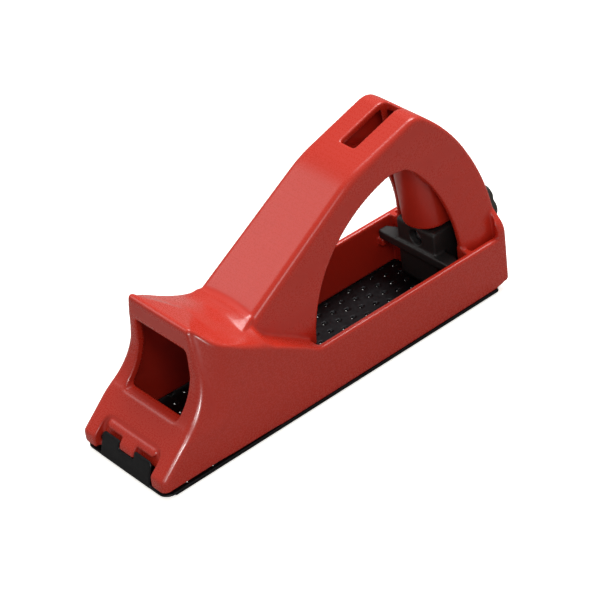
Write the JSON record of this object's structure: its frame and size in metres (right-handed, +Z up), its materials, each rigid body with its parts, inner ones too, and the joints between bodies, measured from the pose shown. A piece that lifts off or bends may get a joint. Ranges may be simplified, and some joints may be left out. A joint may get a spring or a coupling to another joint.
{
  "type": "hand plane",
  "caption": "One-handed rasp plane: moulded body with an arched handle, and a perforated rasp blade stretched along its sole by a screw and knob at the heel.",
  "frame": {"origin": "on the working face of the blade, at the middle of its width, midway between the toe and the heel wall", "axes": "+X from the toe to the heel and its knob, +Y across the width, +Z up from the blade to the handle"},
  "size_m": [0.1636, 0.0438, 0.0781],
  "materials": {
    "red_plastic": "injection-moulded ABS, satin",
    "blackened_steel": "hardened strip steel, blackened and oiled",
    "black_plastic": "moulded nylon, matte",
    "knob_plastic": "moulded nylon, fine satin",
    "plated_steel": "zinc plated",
    "spring_steel": "phosphated spring steel"
  },
  "bodies": {
    "plane_body": {"body": "red_plastic", "blade": "blackened_steel"},
    "tension_gear": {"tension_screw": "plated_steel", "tension_knob": "knob_plastic", "washer": "plated_steel", "retaining_clip": "spring_steel"},
    "carriage_body": {"carriage": "black_plastic", "captive_nut": "plated_steel"}
  },
  "joints": [
    {"name": "screw_turn", "type": "hinge", "parent": "plane_body", "child": "tension_gear", "pos_m": [0.0775, 0, 0.0228], "axis": [1, 0, 0], "range_deg": [0, 2160]},
    {"name": "carriage_slide", "type": "slide", "parent": "plane_body", "child": "carriage_body", "axis": [1, 0, 0], "range_m": [-0.0048, 0]}
  ],
  "couplings": [
    {"joint": "carriage_slide", "follows": "screw_turn", "m_per_rad": -0.00012732}
  ]
}
